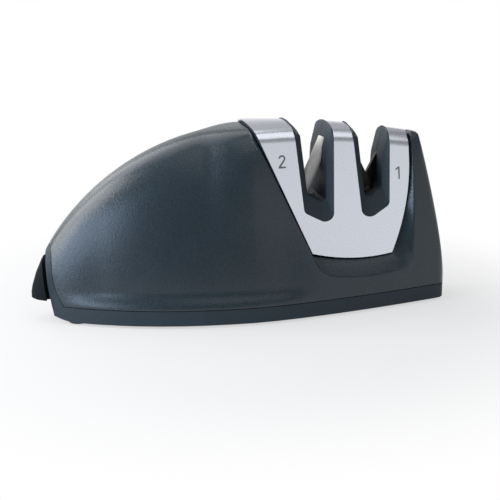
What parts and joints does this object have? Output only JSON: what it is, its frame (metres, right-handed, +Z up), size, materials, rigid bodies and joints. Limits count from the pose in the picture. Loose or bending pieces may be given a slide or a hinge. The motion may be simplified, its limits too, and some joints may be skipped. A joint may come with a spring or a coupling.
{
  "type": "knife sharpener",
  "caption": "Bench knife sharpener: a domed grip, coarse and fine V slots in a steel-clad head, and a lever-worked suction foot under the base.",
  "frame": {"origin": "middle of the object's box, at the table that the rubber feet stand on", "axes": "+X from the tail with its lever to the nose, +Y across to the far side, +Z up"},
  "size_m": [0.1986, 0.0646, 0.0896],
  "materials": {
    "slate_plastic": "fine spark-eroded texture with a satin sheen",
    "black_plastic": "fine matt",
    "satin_steel": "finely brushed",
    "screw_steel": "zinc plated",
    "ceramic": "fine ground ceramic",
    "carbide": "ground hard metal",
    "rubber": "soft matt"
  },
  "bodies": {
    "body": {"housing": "slate_plastic", "base_tray": "slate_plastic", "steel_saddle": "satin_steel", "slot_cartridge_front": "slate_plastic", "slot_cartridge_rear": "slate_plastic", "ceramic_rod_left": "ceramic", "ceramic_rod_right": "ceramic", "carbide_blade_left": "carbide", "carbide_blade_right": "carbide", "carbide_rivet": "screw_steel", "cartridge_screw_front": "screw_steel", "cartridge_screw_rear": "screw_steel", "base_screw_1": "screw_steel", "base_screw_2": "screw_steel", "base_screw_3": "screw_steel", "base_screw_4": "screw_steel", "rubber_foot_1": "rubber", "rubber_foot_2": "rubber", "rubber_foot_3": "rubber", "rubber_foot_4": "rubber", "lever_pivot_pin": "screw_steel"},
    "lever": {"suction_lever": "black_plastic"},
    "suction_foot": {"suction_stem": "black_plastic", "stem_pin": "screw_steel", "suction_pad": "rubber"}
  },
  "joints": [
    {"name": "lever_hinge", "type": "hinge", "parent": "body", "child": "lever", "pos_m": [-0.044, 0, 0.021], "axis": [0, -1, 0], "range_deg": [0, 7]},
    {"name": "foot_lift", "type": "slide", "parent": "body", "child": "suction_foot", "axis": [0, 0, 1], "range_m": [0, 0.00245]}
  ],
  "couplings": [
    {"joint": "foot_lift", "follows": "lever_hinge", "m_per_rad": 0.02}
  ]
}
